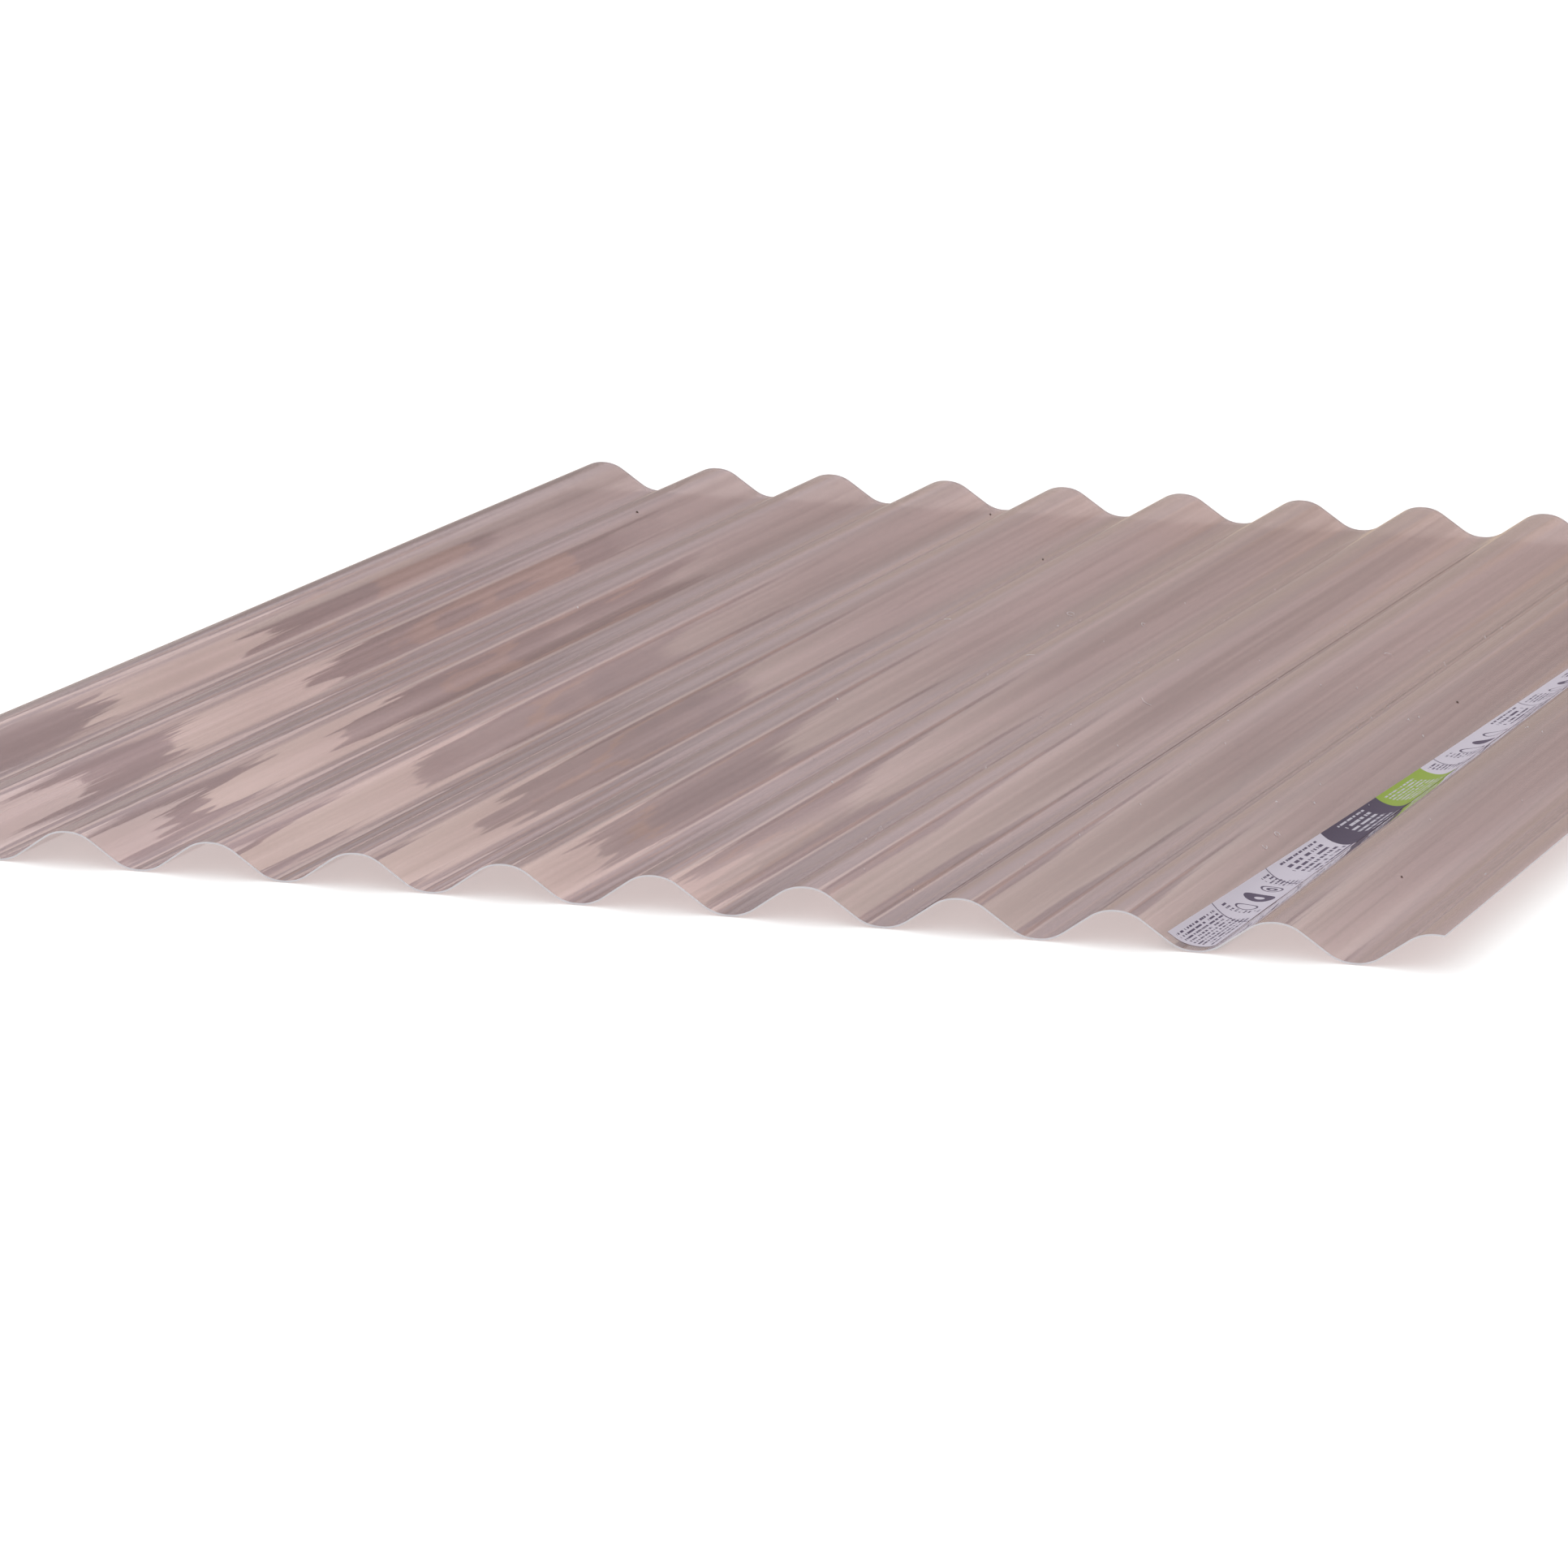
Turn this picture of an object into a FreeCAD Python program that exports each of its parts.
# Corrugated roof sheet of tinted clear plastic, with the paper strip stuck in one of its troughs.
# X runs across the corrugations, Y along them, and Z is up from the level that the troughs rest on.
# The origin is under the middle of the sheet.
import FreeCAD, Part
import Sketcher
import math
import os

V = FreeCAD.Vector

# All sizes are in mm. Each one goes to a cell of the document's spreadsheet, under its own name.
SIZES = {
    "pitch": 76.0,              # crest to crest
    "profile_depth": 17.0,      # underside of a trough to the top of a crest
    "wall": 0.8,
    "flank_slope": 33.5,        # degrees, of the straight stretch between two bends
    "crest_count": 12,
    "left_lip": 20.0,           # middle of the first crest to the left cut edge
    "right_lip": 4.0,           # middle of the last crest to the right cut edge
    "sheet_length": 1100.0,
    "strip_trough_number": 10,  # the trough that the paper lies in, counted from the left
    "strip_length": 790.0,
    "strip_width": 23.0,        # seen from above
    "strip_inset": 8.0,         # near end of the sheet to the near end of the paper
    "strip_reach": 15.5,        # lowest line of the trough to the paper's left edge, at its near end
    "strip_drift": 15.0,        # how far the paper wanders to the right over its length
    "strip_thickness": 0.12,
    "glue_line": 0.3,           # leaves the paper clear of the sheet all over
    "cut_margin": 2.0,          # how far a trimming cut runs past what it trims
}

# Sizes and places that several features share, as formulas of the driving sizes.
# Every crest and trough has the same bend. Its radius at mid wall is the one that leaves room
# between two bends for a straight flank of the given slope.
FLANK_RUN = "( profile_depth - wall ) / tan( flank_slope * 1 deg )"
BEND_RADIUS = f"( ( pitch / 2 - {FLANK_RUN} ) / tan( flank_slope * 0.5 deg ) / 2 )"
CREST_HEIGHT = f"profile_depth - wall / 2 - {BEND_RADIUS}"
TROUGH_HEIGHT = f"wall / 2 + {BEND_RADIUS}"
FIRST_CREST = "( left_lip - right_lip - ( crest_count - 1 ) * pitch ) / 2"

START, END, CENTRE = 1, 2, 3    # the points of a sketched edge
SKETCH_ORIGIN = (-1, 1)


def fill_spreadsheet(doc):
    sheet = doc.addObject("Spreadsheet::Sheet", "Sizes")
    for row, (name, value) in enumerate(SIZES.items(), start=1):
        sheet.set(f"A{row}", name)
        sheet.set(f"B{row}", str(value))
        sheet.setAlias(f"B{row}", name)
    doc.recompute()
    return sheet


def in_cells(formula):
    """The same formula with each size's name replaced by its spreadsheet cell."""
    return " ".join(f"Sizes.{word}" if word in SIZES else word for word in formula.split())


def value_of(item, formula):
    return float(item.evalExpression(in_cells(formula)))


def new_body(doc, name):
    body = doc.addObject("PartDesign::Body", name)
    body.Label = name
    return body


def own_feature(body, role):
    """One of the body's own origin planes or axes."""
    return next(item for item in body.Origin.OriginFeatures if item.Role == role)


def new_sketch(body, name, plane):
    sketch = body.newObject("Sketcher::SketchObject", name)
    sketch.AttachmentSupport = (own_feature(body, plane), [""])
    sketch.MapMode = "FlatFace"
    return sketch


def dimension(sketch, kind, items, formula):
    """A dimension that follows the spreadsheet."""
    value = value_of(sketch, formula)
    index = sketch.addConstraint(Sketcher.Constraint(kind, *items, value))
    sketch.setExpression(f"Constraints[{index}]", in_cells(formula))


def tie(sketch, kind, *items):
    sketch.addConstraint(Sketcher.Constraint(kind, *items))


def arc(sketch, centre, radius, start, end):
    """Arc between two angles, given in degrees from the sketch's X axis."""
    circle = Part.Circle(centre, V(0, 0, 1), radius)
    return sketch.addGeometry(Part.ArcOfCircle(circle, math.radians(start), math.radians(end)), False)


def line(sketch, start, end):
    return sketch.addGeometry(Part.LineSegment(start, end), False)


def wave_line(sketch, offset):
    """One side of a wave, from crest to crest through the trough at X = 0.

    It lies at the given height above mid wall, square to the wall: bend, flank, bend, flank, bend.
    """
    slope = value_of(sketch, "flank_slope")
    half = value_of(sketch, "pitch / 2")
    crest_radius = value_of(sketch, f"{BEND_RADIUS} + ( {offset} )")
    trough_radius = value_of(sketch, f"{BEND_RADIUS} - ( {offset} )")
    crest_height = value_of(sketch, CREST_HEIGHT)
    left = arc(sketch, V(-half, crest_height, 0), crest_radius, 90 - slope, 90)
    middle_centre = V(0, value_of(sketch, TROUGH_HEIGHT), 0)
    middle = arc(sketch, middle_centre, trough_radius, 270 - slope, 270 + slope)
    right = arc(sketch, V(half, crest_height, 0), crest_radius, 90, 90 + slope)

    down = line(sketch, sketch.getPoint(left, START), sketch.getPoint(middle, START))
    up = line(sketch, sketch.getPoint(middle, END), sketch.getPoint(right, END))
    tie(sketch, "Tangent", left, START, down, START)
    tie(sketch, "Tangent", down, END, middle, START)
    tie(sketch, "Tangent", middle, END, up, START)
    tie(sketch, "Tangent", up, END, right, END)
    dimension(sketch, "Radius", (left,), f"{BEND_RADIUS} + ( {offset} )")
    dimension(sketch, "Radius", (middle,), f"{BEND_RADIUS} - ( {offset} )")
    tie(sketch, "Equal", left, right)
    return left, middle, right


def wave_section(sketch, lower_offset, upper_offset):
    """Closed outline of one wave, from the middle of one crest to the middle of the next."""
    lower = wave_line(sketch, lower_offset)
    upper = wave_line(sketch, upper_offset)
    for below, above in zip(lower, upper):
        tie(sketch, "Coincident", below, CENTRE, above, CENTRE)
    left, middle, right = upper
    tie(sketch, "PointOnObject", middle, CENTRE, -2)
    dimension(sketch, "DistanceY", (*SKETCH_ORIGIN, middle, CENTRE), TROUGH_HEIGHT)
    dimension(sketch, "DistanceY", (*SKETCH_ORIGIN, left, CENTRE), CREST_HEIGHT)
    tie(sketch, "Horizontal", left, CENTRE, right, CENTRE)
    dimension(sketch, "DistanceX", (left, CENTRE, *SKETCH_ORIGIN), "pitch / 2")
    dimension(sketch, "DistanceX", (*SKETCH_ORIGIN, right, CENTRE), "pitch / 2")

    for side, point in ((0, END), (2, START)):
        foot = sketch.getPoint(lower[side], point)
        top = sketch.getPoint(upper[side], point)
        cut = line(sketch, foot, top)
        tie(sketch, "Coincident", cut, START, lower[side], point)
        tie(sketch, "Coincident", cut, END, upper[side], point)
        tie(sketch, "Vertical", cut)
        tie(sketch, "Vertical", upper[side], CENTRE, upper[side], point)


def closed_outline(sketch, corners):
    """Straight edges from corner to corner, each corner placed by two formulas."""
    points = [V(value_of(sketch, x), value_of(sketch, y), 0) for x, y in corners]
    edges = [line(sketch, a, b) for a, b in zip(points, points[1:] + points[:1])]
    for edge, following in zip(edges, edges[1:] + edges[:1]):
        tie(sketch, "Coincident", edge, END, following, START)
    for edge, (x, y) in zip(edges, corners):
        dimension(sketch, "DistanceX", (*SKETCH_ORIGIN, edge, START), x)
        dimension(sketch, "DistanceY", (*SKETCH_ORIGIN, edge, START), y)


def rectangle(sketch, left, right, half_length):
    """Rectangle seen from above, as long on both sides of the X axis."""
    near = f"- ( {half_length} )"
    closed_outline(sketch, ((left, near), (right, near), (right, half_length), (left, half_length)))


def pad_along(body, sketch, length):
    pad = body.newObject("PartDesign::Pad", sketch.Name + "Pad")
    pad.Profile = sketch
    pad.Midplane = True
    pad.setExpression("Length", in_cells(length))
    return pad


def cut_through(body, sketch):
    cut = body.newObject("PartDesign::Pocket", sketch.Name + "Cut")
    cut.Profile = sketch
    cut.Type = "ThroughAll"
    cut.Midplane = True
    return cut


def place(body, x, y="0"):
    body.setExpression("Placement.Base.x", in_cells(x))
    body.setExpression("Placement.Base.y", in_cells(y))


def make_sheet(doc):
    """The sheet: one wave repeated, then slit to width at both side edges."""
    body = new_body(doc, "sheet")
    wave = new_sketch(body, "Wave", "XZ_Plane")
    wave_section(wave, "- wall / 2", "wall / 2")
    first = pad_along(body, wave, "sheet_length")

    waves = body.newObject("PartDesign::LinearPattern", "Waves")
    waves.Originals = [first]
    waves.Direction = (own_feature(body, "X_Axis"), [""])
    waves.setExpression("Length", in_cells("crest_count * pitch"))
    waves.setExpression("Occurrences", in_cells("crest_count + 1"))
    body.Tip = waves
    doc.recompute()

    slits = new_sketch(body, "SideSlits", "XY_Plane")
    past_ends = "sheet_length / 2 + cut_margin"
    rectangle(slits, "- pitch / 2 - cut_margin", "pitch / 2 - left_lip", past_ends)
    last_crest = "( crest_count - 0.5 ) * pitch"
    rectangle(slits, f"{last_crest} + right_lip", f"{last_crest} + pitch + cut_margin", past_ends)
    body.Tip = cut_through(body, slits)
    place(body, FIRST_CREST + " - pitch / 2")
    return body


def make_paper_strip(doc):
    """The paper: a lining of one trough, cut to a long strip that runs a little askew."""
    body = new_body(doc, "paper_strip")
    lining = new_sketch(body, "Lining", "XZ_Plane")
    underside = "wall / 2 + glue_line"
    wave_section(lining, underside, underside + " + strip_thickness")
    pad_along(body, lining, "strip_length")
    doc.recompute()

    surround = new_sketch(body, "StripOutline", "XY_Plane")
    half = "strip_length / 2"
    rectangle(surround, "- pitch / 2 - cut_margin", "pitch / 2 + cut_margin", half + " + cut_margin")
    near_left = "- strip_reach"
    far_left = "strip_drift - strip_reach"
    closed_outline(surround, (
        (near_left, "- strip_length / 2"),
        (near_left + " + strip_width", "- strip_length / 2"),
        (far_left + " + strip_width", half),
        (far_left, half)))
    body.Tip = cut_through(body, surround)
    trough = FIRST_CREST + " + ( strip_trough_number - 0.5 ) * pitch"
    place(body, trough, "strip_inset + strip_length / 2 - sheet_length / 2")
    return body


def check(doc, bodies):
    for item in doc.Objects:
        if {"Invalid", "Error"} & set(item.State):
            raise RuntimeError(f"{item.Name} failed: {item.State}")
    for body in bodies:
        shape = body.Shape
        if shape.isNull() or not shape.isValid() or len(shape.Solids) != 1:
            raise RuntimeError(f"{body.Label} is not one sound solid")


def main():
    doc = FreeCAD.newDocument("CorrugatedSheet")
    fill_spreadsheet(doc)
    bodies = [make_sheet(doc), make_paper_strip(doc)]
    doc.recompute()
    check(doc, bodies)
    os.makedirs("parts", exist_ok=True)
    for body in bodies:
        body.Shape.exportStep(os.path.join("parts", body.Label + ".step"))
        box = body.Shape.BoundBox
        print(body.Label, "volume", round(body.Shape.Volume, 1), "faces", len(body.Shape.Faces), box)


main()
